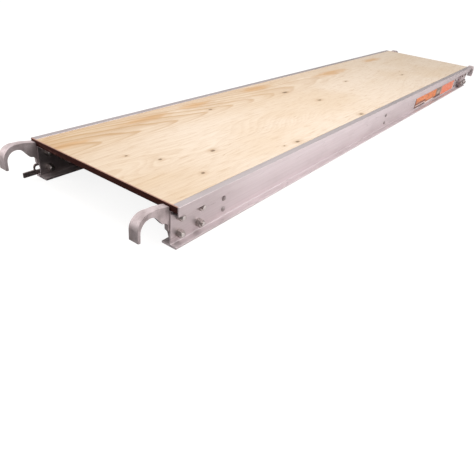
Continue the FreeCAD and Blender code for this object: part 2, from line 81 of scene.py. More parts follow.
class Wire:
    """One shader value that arithmetic can be written on; every operation adds a Math node."""

    def __init__(self, recipe: "Recipe", socket: bpy.types.NodeSocket) -> None:
        """Wraps an output socket of a recipe's node tree."""
        self.recipe = recipe
        self.socket = socket

    def math(self, operation: str, *others: "Wire | Number") -> "Wire":
        """This value and the others through one Math node."""
        return self.recipe.maths(operation, self, *others)

    def __add__(self, other: "Wire | Number") -> "Wire":
        """Sum."""
        return self.math("ADD", other)

    __radd__ = __add__

    def __mul__(self, other: "Wire | Number") -> "Wire":
        """Product."""
        return self.math("MULTIPLY", other)

    __rmul__ = __mul__

    def __sub__(self, other: "Wire | Number") -> "Wire":
        """Difference."""
        return self.math("SUBTRACT", other)

    def __rsub__(self, other: Number) -> "Wire":
        """Difference, from a number."""
        return self.recipe.maths("SUBTRACT", other, self)

    def __truediv__(self, other: "Wire | Number") -> "Wire":
        """Quotient."""
        return self.math("DIVIDE", other)

    def __pow__(self, other: Number) -> "Wire":
        """Power."""
        return self.math("POWER", other)

    def __abs__(self) -> "Wire":
        """Distance from zero."""
        return self.math("ABSOLUTE")

    def fraction(self) -> "Wire":
        """The part after the point."""
        return self.math("FRACT")

    def lowest(self, other: "Wire | Number") -> "Wire":
        """The smaller of the two."""
        return self.math("MINIMUM", other)

    def highest(self, other: "Wire | Number") -> "Wire":
        """The larger of the two."""
        return self.math("MAXIMUM", other)

    def smooth(self, low: float, high: float) -> "Wire":
        """A soft step from 0 at low to 1 at high.

        Args:
            low: Value where the step starts.
            high: Value where it ends; below low, the step falls.

        Returns:
            The step, from 0 to 1.
        """
        rising = high > low
        sockets = {"Value": self, "From Min": min(low, high), "From Max": max(low, high),
                   "To Min": 0.0 if rising else 1.0, "To Max": 1.0 if rising else 0.0}
        return self.recipe.node("ShaderNodeMapRange", {"interpolation_type": "SMOOTHSTEP"}, sockets)

    def near(self, centre: float, reach: float) -> "Wire":
        """A soft bump that is 1 at centre and 0 beyond reach on either side."""
        return abs(self - centre).smooth(reach, 0.0)


Value = Wire | Number | Sequence[float]


class Recipe:
    """The node tree of one material."""

    def __init__(self, name: str) -> None:
        """Starts a material with one Principled surface and Object coordinates."""
        self.material = bpy.data.materials.new(name)
        self.material.use_nodes = True
        self.tree = self.material.node_tree
        self.surface = self.tree.nodes["Principled BSDF"]
        self.place = self.node("ShaderNodeTexCoord", output="Object")
        self.x, self.y, self.z = self.parts(self.place)

    def node(self, kind: str, settings: Mapping[str, object] | None = None,
             sockets: Mapping[str | int, Value] | None = None, output: str | int = 0) -> Wire:
        """Adds one node.

        Args:
            kind: The node's type.
            settings: Its properties.
            sockets: Values or wires for its inputs, by name or index.
            output: Which output to hand back.

        Returns:
            The chosen output.
        """
        made = self.tree.nodes.new(kind)
        for key, value in (settings or {}).items():
            setattr(made, key, value)
        for key, value in (sockets or {}).items():
            self.join(value, made.inputs[key])
        return Wire(self, made.outputs[output])

    def join(self, value: Value, socket: bpy.types.NodeSocket) -> None:
        """Links a wire to a socket, or sets the socket to a plain value."""
        if isinstance(value, Wire):
            self.tree.links.new(value.socket, socket)
        else:
            socket.default_value = value

    def maths(self, operation: str, *values: Wire | Number) -> Wire:
        """One Math node over the values."""
        return self.node("ShaderNodeMath", {"operation": operation}, dict(enumerate(values)))

    def vector(self, operation: str, *values: Value, output: str | int = 0) -> Wire:
        """One Vector Math node over the values."""
        return self.node("ShaderNodeVectorMath", {"operation": operation}, dict(enumerate(values)), output)

    def parts(self, vector: Wire) -> tuple[Wire, Wire, Wire]:
        """The three components of a vector."""
        split = self.node("ShaderNodeSeparateXYZ", sockets={0: vector}).socket.node
        return tuple(Wire(self, socket) for socket in split.outputs)

    def noise(self, stretch: Sequence[float], detail: float = 2.0, roughness: float = 0.5,
              shift: float = 0.0, place: Wire | None = None) -> Wire:
        """Cloud noise over the piece.

        Args:
            stretch: Clouds per metre along X, Y and Z.
            detail: How many finer layers are added.
            roughness: How strong the finer layers are.
            shift: Moves the pattern, so that two noises differ.
            place: The coordinates, or the object's own.

        Returns:
            A value around 0.5.
        """
        moved = self.vector("MULTIPLY_ADD", place or self.place, stretch, (shift, shift, shift))
        sockets = {"Vector": moved, "Scale": 1.0, "Detail": detail, "Roughness": roughness}
        return self.node("ShaderNodeTexNoise", {"normalize": True}, sockets)

    def mix(self, factor: Wire | Number, first: Value, second: Value, blend: str = "MIX") -> Wire:
        """Colour between two colours."""
        settings = {"data_type": "RGBA", "blend_type": blend, "clamp_factor": True}
        return self.node("ShaderNodeMix", settings, {0: factor, 6: first, 7: second}, 2)

    def facing(self) -> tuple[Wire, Wire, Wire]:
        """Components of the surface's outward normal."""
        return self.parts(self.node("ShaderNodeNewGeometry", output="Normal"))

    def scratches(self, stretch: Sequence[float], width: float, shift: float) -> Wire:
        """Thin wandering lines: where a smooth noise crosses its middle value.

        Args:
            stretch: Clouds per metre along X, Y and Z of the noise that is crossed.
            width: Half width of a line, in the noise's own units.
            shift: Moves the pattern.

        Returns:
            1 on a line and 0 beside it, broken up so that the lines come and go.
        """
        line = self.noise(stretch, 1.0, 0.4, shift).near(0.5, width)
        gate = self.noise([s * 0.6 for s in stretch], 1.0, 0.5, shift + 7.3).smooth(0.52, 0.62)
        return line * gate

    def finish(self, colour: Value, roughness: Value, metallic: Value = 0.0, height: Wire | None = None,
               **constants: float) -> bpy.types.Material:
        """Feeds the surface and gives the material.

        Args:
            colour: Base colour.
            roughness: Roughness.
            metallic: Metalness.
            height: Relief in metres, or none.
            **constants: Other sockets that are the same all over, with _ for a space.

        Returns:
            The finished material.
        """
        self.join(colour, self.surface.inputs["Base Color"])
        self.join(roughness, self.surface.inputs["Roughness"])
        self.join(metallic, self.surface.inputs["Metallic"])
        for key, value in constants.items():
            self.surface.inputs[key.replace("_", " ")].default_value = value
        if height is not None:
            bump = self.node("ShaderNodeBump", sockets={"Strength": 1.0, "Distance": 1.0, "Height": height})
            self.join(bump, self.surface.inputs["Normal"])
        return self.material


# ---- finishes -------------------------------------------------------------------------------


@dataclass(frozen=True)
class Knot:
    """A knot in the deck's face veneer: centre, half length along the grain and half width."""

    x: float
    y: float
    length: float
    width: float


@dataclass(frozen=True)
class Plywood:
    """Sanded softwood plywood with its grain along X."""

    name: str = "sanded_plywood"
    cream: str = "e2d4c3"
    tan: str = "d3bc9e"
    amber: str = "cfa679"
    latewood: str = "b8946b"
    knot_core: str = "6a5640"
    knot_rim: str = "b08a5e"
    end_grain: str = "b98f63"
    glue: str = "5a4030"
    plies: int = 5
    ring_spacing: float = 0.021
    arch_centre: float = 0.128
    arch_depth: float = 150.0
    arch_spacing: float = 0.145
    knots: tuple[Knot, ...] = (
        Knot(-1.069, 0.014, 0.0045, 0.0038), Knot(-1.023, -0.052, 0.0068, 0.0052),
        Knot(-1.005, -0.169, 0.0070, 0.0050), Knot(-0.884, -0.098, 0.0100, 0.0064),
        Knot(-0.624, 0.126, 0.0100, 0.0050), Knot(-0.649, -0.208, 0.0100, 0.0060),
        Knot(-0.707, -0.201, 0.0050, 0.0030), Knot(-0.229, 0.094, 0.0190, 0.0080),
        Knot(-0.206, -0.039, 0.0140, 0.0062), Knot(-0.234, -0.215, 0.0130, 0.0070),
        Knot(0.165, 0.034, 0.0120, 0.0050), Knot(0.560, -0.072, 0.0140, 0.0050),
    )
    streaks: tuple[Knot, ...] = (
        Knot(-0.850, 0.182, 0.115, 0.024), Knot(-0.625, 0.186, 0.075, 0.022),
        Knot(-0.275, 0.190, 0.100, 0.022), Knot(-1.120, 0.150, 0.070, 0.018),
        Knot(0.760, 0.170, 0.110, 0.026), Knot(0.250, 0.150, 0.160, 0.030),
    )

    @staticmethod
    def spots(recipe: Recipe, marks: Sequence[Knot], wobble: Wire) -> Wire:
        """Distance to the nearest mark, where 1 is the mark's own edge.

        Args:
            recipe: The material.
            marks: Ellipses on the deck.
            wobble: Added to every distance, so that no mark is a plain ellipse.

        Returns:
            The smallest of the ellipses' scaled distances.
        """
        nearest = None
        for mark in marks:
            away = recipe.vector("SUBTRACT", recipe.place, (mark.x, mark.y, DECK_HIGH.z))
            shares = recipe.vector("MULTIPLY", away, (1.0 / mark.length, 1.0 / mark.width, 40.0))
            gap = recipe.vector("LENGTH", shares, output="Value")
            nearest = gap if nearest is None else nearest.lowest(gap)
        return nearest + wobble

    def make(self) -> bpy.types.Material:
        """Face veneer above and below, and the plies on the edges.

        The figure is the height lines of a smooth field, y plus stretched noise: each line darkens
        slowly and stops sharply, as a year's growth does. Near the left edge the lines are nested
        arches instead, x plus a depth times the square of y less the arches' centre line.

        Returns:
            The material.
        """
        r = Recipe(self.name)
        sway = r.noise((1.15, 5.5, 9.0), 1.0, 0.40, 3.1) - 0.5
        ripple = r.noise((3.6, 26.0, 9.0), 2.0, 0.50, 1.7) - 0.5
        fibre = r.noise((16.0, 520.0, 90.0), 3.0, 0.6, 0.4)
        fleck = r.noise((70.0, 1100.0, 90.0), 2.0, 0.5, 5.2).smooth(0.62, 0.74)
        cloud = r.noise((2.2, 5.0, 9.0), 3.0, 0.55, 8.8)
        knot = self.spots(r, self.knots, (r.noise((160.0, 260.0, 9.0), 2.0, 0.5, 2.0) - 0.5) * 0.9)
        amber = self.spots(r, self.streaks, (r.noise((14.0, 60.0, 9.0), 3.0, 0.6, 6.0) - 0.5) * 1.5)
        halo = knot.smooth(3.2, 0.8)
        eddy = knot.smooth(9.0, 1.0)
        band = (r.y + sway * 0.13).smooth(0.045, 0.165)
        band = band * (r.x + cloud * 0.5).smooth(1.6, -1.1)
        field = r.y + sway * 0.30 + ripple * 0.008 + eddy * 0.008
        ring = (field / self.ring_spacing).fraction()
        late = ring.smooth(0.25, 0.93) * ring.smooth(1.0, 0.95)
        offset = r.y - self.arch_centre + sway * 0.10
        reach = (r.x + offset * offset * self.arch_depth + sway * 0.55 + ripple * 0.10) / self.arch_spacing
        arch = reach.fraction()
        arch = ((arch.smooth(0.05, 0.80) * 0.35 + arch.smooth(0.60, 0.86) * 0.65)
                * arch.smooth(1.0, 0.90) * band)
        fine_ring = (field / (self.ring_spacing * 0.34) + sway * 1.2).fraction()
        faint = fine_ring.smooth(0.2, 0.95) * fine_ring.smooth(1.0, 0.93)

        # Tan and darker towards the front end of the deck.
        front = (r.x + cloud * 0.2).smooth(-0.72, -1.06)
        warm = cloud.smooth(0.42, 0.68) * 0.45 + band * 0.36 + fibre.smooth(0.4, 0.7) * 0.12 + front * 0.36
        wood = r.mix(warm.lowest(1.0), tint(self.cream), tint(self.tan))
        wood = r.mix(amber.smooth(1.25, 0.2) * 0.85, wood, tint(self.amber))
        wood = r.mix(late * (band * 0.22 + front * 0.06 + 0.07), wood, tint(self.latewood))
        wood = r.mix(arch * 0.85, wood, tint(self.latewood))
        wood = r.mix(faint * (0.10 + front * 0.05), wood, tint(self.latewood))
        weave = r.noise((17.0, 150.0, 9.0), 4.0, 0.65, 12.0)
        wood = r.mix(weave.smooth(0.46, 0.72) * 0.32, wood, tint(self.latewood))
        wood = r.mix(fleck * 0.22, wood, tint(self.knot_rim))
        wood = r.mix(halo * 0.30, wood, tint(self.knot_rim))
        core = knot.smooth(1.15, 0.35)
        wood = r.mix(core * 0.85, wood, tint(self.knot_core))
        wood = r.mix(fibre.smooth(0.75, 0.25) * 0.10, wood, tint(self.latewood))

        ply = (r.z - DECK_LOW.z) / ((DECK_HIGH.z - DECK_LOW.z) / self.plies)
        glue_line = ply.fraction().near(0.0, 0.10).highest(ply.fraction().near(1.0, 0.10))
        crossed = (ply * 0.5).fraction().smooth(0.47, 0.53)
        edge = r.mix(crossed * 0.7 + fibre * 0.3, tint(self.tan), tint(self.end_grain))
        edge = r.mix(glue_line * 0.8, edge, tint(self.glue))
        flat = abs(r.facing()[2]).smooth(0.4, 0.7)
        colour = r.mix(flat, edge, wood)

        split = r.scratches((2.4, 70.0, 9.0), 0.012, 4.4) * flat
        colour = r.mix(split * 0.5, colour, tint(self.knot_rim))
        height = fibre * 0.00007 + late * 0.00005 - core * 0.0003 - split * 0.0002 - fleck * 0.00005
        rough = 0.60 + fibre * 0.16 - late * 0.06
        return r.finish(colour, rough, 0.0, height, Specular_IOR_Level=0.32)


@dataclass(frozen=True)
class ExtrudedAluminium:
    """Mill-finish extrusion: die lines along X, cloudy blotches, scuffs, and painted shade that greys the
    rails towards their cut ends.
    """

    name: str = "extruded_aluminium"
    light: str = "e6dcde"
    dull: str = "cbbfc0"
    # Colour of scuffs and of the painted shade at the rail ends.
    grime_and_shade: str = "857876"
    metallic: float = 0.88

    def make(self) -> bpy.types.Material:
        """Colour, roughness and relief all follow the die lines, which are noise drawn out along X."""
        r = Recipe(self.name)
        die = r.noise((0.8, 240.0, 240.0), 3.0, 0.6, 0.0)
        hair = r.noise((6.0, 1500.0, 1500.0), 2.0, 0.6, 2.5)
        cloud = r.noise((7.0, 22.0, 22.0), 4.0, 0.6, 5.0)
        patch = r.noise((2.6, 7.0, 7.0), 2.0, 0.5, 9.0)
        scuff = r.scratches((5.0, 60.0, 60.0), 0.010, 1.0)
        drag = r.scratches((1.6, 95.0, 95.0), 0.008, 6.0)
        knocks = r.scratches((55.0, 22.0, 30.0), 0.012, 3.3)
        # Painted shade and dark reflection towards the rail ends, strongest at the front end and weaker on
        # faces that look up.
        end = (r.x * -1.0).smooth(RAIL_END - 0.34, RAIL_END) + r.x.smooth(RAIL_END - 0.12, RAIL_END) * 0.35
        ends = end * (0.45 + cloud * 0.55) * (1.0 - r.facing()[2].smooth(0.5, 0.8) * 0.7)
        colour = r.mix(die.smooth(0.30, 0.72) * 0.28 + patch.smooth(0.4, 0.7) * 0.3,
                       tint(self.light), tint(self.dull))
        # Blotches and the painted end shade grey the colour; scuffs, drags and the painted end shade darken
        # it.
        colour = r.mix(cloud.smooth(0.50, 0.74) * 0.38 + ends * 0.6, colour, tint(self.dull))
        colour = r.mix((scuff * 0.30 + drag * 0.5 + ends * 0.25), colour, tint(self.grime_and_shade))
        cut = abs(r.facing()[0]).smooth(0.7, 0.9)
        colour = r.mix(cut * 0.8, colour, tint(self.light))
        foot = r.z.smooth(0.014, 0.006)
        trodden = r.facing()[2].smooth(0.5, 0.8) * r.z.smooth(0.085, 0.095)
        rough = 0.34 + cloud * 0.16 + die * 0.05 - scuff * 0.06 - trodden * 0.12 + foot * 0.16 + cut * 0.16
        height = die * 0.000012 + hair * 0.000008 - drag * 0.00005 - scuff * 0.00003 - knocks * 0.00005
        return r.finish(colour, rough, self.metallic, height)


@dataclass(frozen=True)
class CastAluminium:
    """Sand-cast hook: grain all over, soft blotches, and a bright band where the bearer rubs."""

    name: str = "cast_aluminium"
    light: str = "d8cbcc"
    dull: str = "b4a6a6"
    pit: str = "6c605f"
    polish: str = "e0d8d8"
    metallic: float = 0.62

    def make(self, seat_x: float, seat_z: float, seat_radius: float) -> bpy.types.Material:
        """Cast skin, and a polished seat.

        Args:
            seat_x: Distance of either bearer's centre from the plank's middle.
            seat_z: Height of the bearers' centres.
            seat_radius: Radius of the seats.

        Returns:
            The material.
        """
        r = Recipe(self.name)
        grain = r.noise((620.0, 620.0, 620.0), 3.0, 0.65, 0.0)
        lump = r.noise((95.0, 95.0, 95.0), 3.0, 0.55, 4.0)
        cloud = r.noise((34.0, 34.0, 34.0), 4.0, 0.6, 7.0)
        pits = r.node("ShaderNodeTexVoronoi", {"feature": "F1"},
                      {"Vector": r.place, "Scale": 330.0}).smooth(0.22, 0.08)
        pits = pits * r.noise((60.0, 60.0, 60.0), 1.0, 0.5, 2.0).smooth(0.52, 0.62)
        across = abs(r.x) - seat_x
        up = r.z - seat_z
        gap = (across * across + up * up) ** 0.5
        rubbed = gap.smooth(seat_radius + 0.0022, seat_radius + 0.0002) * up.smooth(-0.012, 0.010)
        rubbed = rubbed * r.noise((60.0, 400.0, 60.0), 2.0, 0.6, 1.0).smooth(0.32, 0.58)
        colour = r.mix(cloud.smooth(0.35, 0.70), tint(self.light), tint(self.dull))
        colour = r.mix(lump.smooth(0.50, 0.75) * 0.4, colour, tint(self.dull))
        colour = r.mix(pits * 0.7, colour, tint(self.pit))
        colour = r.mix(rubbed * 0.8, colour, tint(self.polish))
        rough = 0.56 + cloud * 0.14 + pits * 0.1 - rubbed * 0.30
        height = (grain * 0.00010 + lump * 0.00016 - pits * 0.00018) * (1.0 - rubbed * 0.8)
        return r.finish(colour, rough, self.metallic, height)


@dataclass(frozen=True)
class DarkCoating:
    """Dark brown satin coating with a coppery top edge: partly rubbed through, partly a painted highlight.
    """

    name: str = "dark_coating"
    deep: str = "3c1d19"
    worn: str = "4e2822"
    # Coppery colour of the top edge, partly worn coating and partly painted highlight.
    edge: str = "c9a090"

    def make(self) -> bpy.types.Material:
        """Brown coat with dusty blotches; the top edge band and the faces that look up are painted coppery
        and shinier, as worn coating and as a painted highlight.
        """
        r = Recipe(self.name)
        cloud = r.noise((30.0, 16.0, 60.0), 4.0, 0.6, 0.0)
        orange_peel = r.noise((500.0, 500.0, 500.0), 2.0, 0.5, 2.0)
        scratch = r.scratches((30.0, 12.0, 90.0), 0.012, 5.0)
        ragged = (r.noise((90.0, 70.0, 90.0), 3.0, 0.6, 8.0) - 0.5) * 0.0016
        # Painted highlight along the top edge and on faces that look up, mixed with real wear; the ragged
        # line is chipped coating.
        top_edge_band = (r.z + ragged).smooth(DECK_HIGH.z - 0.0016, DECK_HIGH.z - 0.0004)
        top = r.facing()[2].smooth(0.45, 0.9)
        bare_and_highlight = (top_edge_band * 0.45 + top * 0.75).lowest(0.92)
        colour = r.mix(cloud.smooth(0.4, 0.72) * 0.7, tint(self.deep), tint(self.worn))
        # The top edge band and upward faces turn coppery: painted highlight and worn coating.
        colour = r.mix((bare_and_highlight + scratch * 0.35).lowest(1.0), colour, tint(self.edge))
        rough = 0.50 + cloud * 0.18 - bare_and_highlight * 0.10
        height = orange_peel * 0.00003 - bare_and_highlight * 0.00008 - scratch * 0.00006
        return r.finish(colour, rough, bare_and_highlight * 0.6, height, Specular_IOR_Level=0.12)


class Metal(Enum):
    """Finishes of the small steel and aluminium parts."""

    ZINC = "zinc"
    SCREW = "screw"
    DULL_STEEL = "dull_steel"
    RIVET = "rivet"


@dataclass(frozen=True)
class SmallMetal:
    """Plated or plain small metal with streaks, stains and a few rust specks."""

    light: str
    dark: str
    stain: str
    roughness: float
    metallic: float
    stained: float

    def make(self, name: str) -> bpy.types.Material:
        """Fine turned streaks, larger stains and specks.

        Args:
            name: The material's name.

        Returns:
            The material.
        """
        r = Recipe(name)
        streak = r.noise((900.0, 260.0, 900.0), 2.0, 0.6, 1.0)
        cloud = r.noise((120.0, 120.0, 120.0), 3.0, 0.6, 4.0)
        speck = r.noise((420.0, 420.0, 420.0), 3.0, 0.6, 9.0).smooth(0.64, 0.72)
        stain = (cloud.smooth(0.52, 0.72) * 0.6 + speck * 0.5).lowest(1.0) * self.stained
        colour = r.mix(streak.smooth(0.3, 0.7), tint(self.light), tint(self.dark))
        colour = r.mix(stain, colour, tint(self.stain))
        rough = self.roughness + streak * 0.10 + stain * 0.25
        height = streak * 0.00002 + speck * (0.00005 * self.stained)
        return r.finish(colour, rough, self.metallic, height)


SMALL_METALS: dict[Metal, SmallMetal] = {
    Metal.ZINC: SmallMetal("d9d0cd", "978d8a", "6f635c", 0.24, 0.95, 0.45),
    Metal.SCREW: SmallMetal("bdb3b2", "857b7a", "6a5a50", 0.40, 0.75, 0.40),
    Metal.DULL_STEEL: SmallMetal("b3a6a4", "877b79", "5c4638", 0.42, 0.85, 0.55),
    Metal.RIVET: SmallMetal("e6e1de", "c9c2be", "9a908a", 0.32, 0.90, 0.20),
}


@dataclass(frozen=True)
class Patch:
    """One colour block: from start to end along X and from bottom to top, in metres. Most are print; the
    dark strip along the lower left edge is partly painted contact shadow.
    """

    start: float
    end: float
    bottom: float
    top: float
    colour: str


@dataclass(frozen=True)
class PrintedLabel:
    """Vinyl strip printed with plain colour blocks and no lettering; the dark strip along its lower left
    edge is partly painted contact shadow.
    """

    name: str = "printed_label"
    ground: str = "f3e6df"
    grey: str = "8f7f78"
    smudge: str = "8a4a26"
    soft_edge: float = 0.0008
    faded: float = 0.16
    smudged: float = 0.45
    smudge_end: tuple[float, float] = (0.306, 0.300)
    patches: tuple[Patch, ...] = (
        Patch(0.000, 0.310, 0.007, 0.044, "f3873a"),
        Patch(0.000, 0.150, 0.009, 0.012, "ead9d0"),
        Patch(0.000, 0.150, 0.012, 0.021, "86492a"),
        Patch(0.150, 0.280, 0.007, 0.011, "b06a3a"),
        Patch(0.000, 0.150, 0.000, 0.009, "e9e0dc"),
        # Dark strip along the lower left edge: the label's edge and a painted contact shadow where the web
        # meets the flange.
        Patch(0.000, 0.150, 0.000, 0.007, "503a38"),
        Patch(0.000, 0.009, 0.000, 0.044, "5e3a2c"),
        Patch(0.306, 0.392, 0.009, 0.044, "8a715c"),
        Patch(0.325, 0.372, 0.014, 0.030, "b8a493"),
        Patch(0.286, 0.392, 0.000, 0.010, "5a302e"),
        Patch(0.396, 0.612, 0.000, 0.044, "fb8a60"),
    )

    def make(self, low: Vector) -> bpy.types.Material:
        """Colour blocks laid over each other from the first to the last.

        Args:
            low: The strip's lowest corner, which the blocks are measured from.

        Returns:
            The material.
        """
        r = Recipe(self.name)
        along, height = r.x - low.x, r.z - low.z
        soft = self.soft_edge
        colour: Wire | Colour = tint(self.ground)
        for patch in self.patches:
            inside = (along.smooth(patch.start - soft, patch.start + soft)
                      * along.smooth(patch.end + soft, patch.end - soft))
            inside = inside * height.smooth(patch.bottom - soft, patch.bottom + soft)
            inside = inside * height.smooth(patch.top + soft, patch.top - soft)
            colour = r.mix(inside, colour, tint(patch.colour))
        fade = r.noise((70.0, 70.0, 190.0), 2.0, 0.5, 4.0).smooth(0.56, 0.66)
        colour = r.mix(fade * self.faded, colour, tint(self.ground))
        smudge = (r.noise((34.0, 34.0, 120.0), 3.0, 0.6, 7.0).smooth(0.50, 0.62)
                  * along.smooth(*self.smudge_end))
        colour = r.mix(smudge * self.smudged, colour, tint(self.smudge))
        cloud = r.noise((22.0, 22.0, 60.0), 3.0, 0.6, 1.0)
        rub = r.scratches((18.0, 20.0, 160.0), 0.02, 3.0)
        colour = r.mix(cloud.smooth(0.5, 0.75) * 0.14 + rub * 0.4, colour, tint(self.grey))
        creases = r.noise((40.0, 40.0, 120.0), 2.0, 0.5, 6.0)
        return r.finish(colour, 0.34 + cloud * 0.12 + rub * 0.2, 0.0, creases * 0.00012 + rub * 0.00003)


@dataclass(frozen=True)
class StudioPaper:
    """Pale seamless paper, lit a little from within where it is seen directly."""

    colour: str
    glow: float

    def make(self, name: str) -> bpy.types.Material:
        """Matt paper with a faint mottle.

        Args:
            name: The material's name.

        Returns:
            The material.
        """
        r = Recipe(name)
        mottle = r.noise((3.0, 3.0, 3.0), 3.0, 0.5, 0.0)
        colour = r.mix(mottle * 0.04, tint(self.colour), tint("e8e4e0"))
        r.join(tint("ffffff"), r.surface.inputs["Emission Color"])
        return r.finish(colour, 0.85, 0.0, None, Emission_Strength=self.glow, Specular_IOR_Level=0.0)


# ---- mesh helpers ---------------------------------------------------------------------------


def mesh_piece(name: str, points: np.ndarray, faces: list[tuple[int, ...]]) -> bpy.types.Object:
    """New object with its place in its mesh.

    Args:
        name: Piece name.
        points: Vertex places, one row each, in metres.
        faces: Vertex numbers of each face, turning outwards.

    Returns:
        The object, linked into the scene.
    """
    mesh = bpy.data.meshes.new(name)
    mesh.from_pydata(points.tolist(), [], faces)
    mesh.validate()
    piece = bpy.data.objects.new(name, mesh)
    bpy.context.scene.collection.objects.link(piece)
    return piece


def rounded_copy(node: str, name: str, radius: float, merge: float = 2e-6) -> bpy.types.Object:
    """Copy of a CAD node with its triangles joined into faces and its sharp edges rounded.

    Args:
        node: The CAD node.
        name: Name of the new piece.
        radius: Width of the rounding, in metres.
        merge: Vertices closer than this become one.

    Returns:
        The new piece, with live Bevel and Weighted Normal modifiers.
    """
    sharp = math.radians(32.0)
    shell = bmesh.new()
    shell.from_mesh(frame["nodes"][node].data)
    bmesh.ops.remove_doubles(shell, verts=shell.verts, dist=merge)
    bmesh.ops.dissolve_limit(shell, angle_limit=math.radians(0.6), verts=shell.verts, edges=shell.edges)
    mesh = bpy.data.meshes.new(name)
    shell.to_mesh(mesh)
    shell.free()
    mesh.shade_smooth()
    piece = bpy.data.objects.new(name, mesh)
    bpy.context.scene.collection.objects.link(piece)
    bevel = piece.modifiers.new("edge_rounding", "BEVEL")
    bevel.width = radius
    bevel.segments = 3
    bevel.limit_method = "ANGLE"
    bevel.angle_limit = sharp
    bevel.miter_outer = "MITER_ARC"
    normals = piece.modifiers.new("face_normals", "WEIGHTED_NORMAL")
    normals.keep_sharp = True
    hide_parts(node)
    return piece


def dress(piece: bpy.types.Object, material: bpy.types.Material) -> None:
    """Puts one material on a piece, into its own slots where it has any."""
    if piece.material_slots:
        for place in piece.material_slots:
            place.material = material
    else:
        piece.data.materials.append(material)


def dress_nodes(names: Sequence[str], material: bpy.types.Material) -> None:
    """Puts one material on several CAD nodes."""
    for name in names:
        dress(frame["nodes"][name], material)
        log.info("dressed %s in %s", name, material.name)


def nodes_named(*starts: str) -> list[str]:
    """CAD nodes whose names start with one of the words, in order."""
    return sorted(name for name in frame["nodes"] if name.startswith(starts))


# ---- sub-assemblies -------------------------------------------------------------------------


class End(Enum):
    """The two ends of the plank, with the sign of their X."""

    FRONT = -1
    REAR = 1

    @property
    def word(self) -> str:
        """The end's name as nodes spell it."""
        return self.name.lower()


@dataclass
class Deck:
    """Plywood deck let in between the rails."""

    finish: Plywood = Plywood()

    def build(self) -> None:
        """The deck keeps its CAD solid, so only its finish is made."""
        dress_nodes(["deck_panel"], self.finish.make())


@dataclass
class Rails:
    """The two extrusions, the spreader tubes between them and the label on the right web."""

    finish: ExtrudedAluminium = ExtrudedAluminium()
    label: PrintedLabel = PrintedLabel()

    def build(self) -> None:
        """Dresses the rails, spreaders and label."""
        aluminium = self.finish.make()
        tubes = [name for name in nodes_named("spreader_") if "screws" not in name]
        dress_nodes(nodes_named("side_rail_") + tubes, aluminium)
        dress_nodes(["label_strip"], self.label.make(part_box("label_strip")[0]))


@dataclass
class EndTrim:
    """Dark channels across both ends, with softly folded edges, and their rivets."""

    edge_radius: float = 0.6 * MM
    finish: DarkCoating = DarkCoating()

    def build(self) -> None:
        """Makes both channels and dresses the rivets."""
        coating = self.finish.make()
        for end in End:
            piece = rounded_copy(f"end_channel_{end.word}", f"end_channel_folded_{end.word}",
                                 self.edge_radius)
            dress(piece, coating)
            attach(piece, "plank")
            log.info("made %s", piece.name)
        dress_nodes(nodes_named("end_channel_rivets_"), SMALL_METALS[Metal.RIVET].make("plain_rivet"))


@dataclass
class Hooks:
    """Four cast hooks with softened edges."""

    edge_radius: float = 1.5 * MM
    finish: CastAluminium = CastAluminium()

    def build(self) -> None:
        """Makes one rounded casting for every hook node."""
        bearer = next(m for m in frame["record"]["mounts"] if m["name"] == "bearer_rear")
        seat = bearer["pos_m"]
        casting = self.finish.make(seat[0], seat[2], bearer["dims"]["r_mm"] * MM)
        for node in nodes_named("hook_front_", "hook_rear_"):
            piece = rounded_copy(node, node.replace("hook_", "cast_hook_"), self.edge_radius)
            dress(piece, casting)
            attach(piece, "plank")
            log.info("made %s", piece.name)


